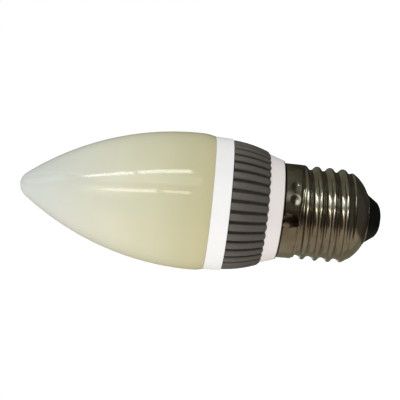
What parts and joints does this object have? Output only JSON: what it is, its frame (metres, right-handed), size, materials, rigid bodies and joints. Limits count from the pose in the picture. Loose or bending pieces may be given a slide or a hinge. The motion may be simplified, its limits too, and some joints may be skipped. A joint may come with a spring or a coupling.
{
  "type": "candle bulb",
  "caption": "Candle lamp with an opal flame-shaped diffuser, a smooth white collar, a ribbed grey heat sink and a nickel screw cap; it screws into an E27 holder and gives light.",
  "frame": {"origin": "centre of the centre contact's outer face", "axes": "+Z along the lamp's axis, from the contact to the tip of the diffuser; the side solder faces -Y"},
  "size_m": [0.038, 0.038, 0.1],
  "materials": {
    "opal_diffuser": "glossy opal cream",
    "white_plastic": "smooth white moulding",
    "grey_heat_sink": "dark grey coated aluminium",
    "nickel_shell": "bright nickel plate",
    "black_insulator": "black moulding",
    "nickel_contact": "bright nickel plate",
    "solder": "dull tin solder"
  },
  "bodies": {
    "root": {"diffuser": "opal_diffuser", "collar": "white_plastic", "heat_sink": "grey_heat_sink", "base": "white_plastic", "screw_shell": "nickel_shell", "insulator": "black_insulator", "centre_contact": "nickel_contact", "side_solder": "solder"}
  },
  "joints": []
}
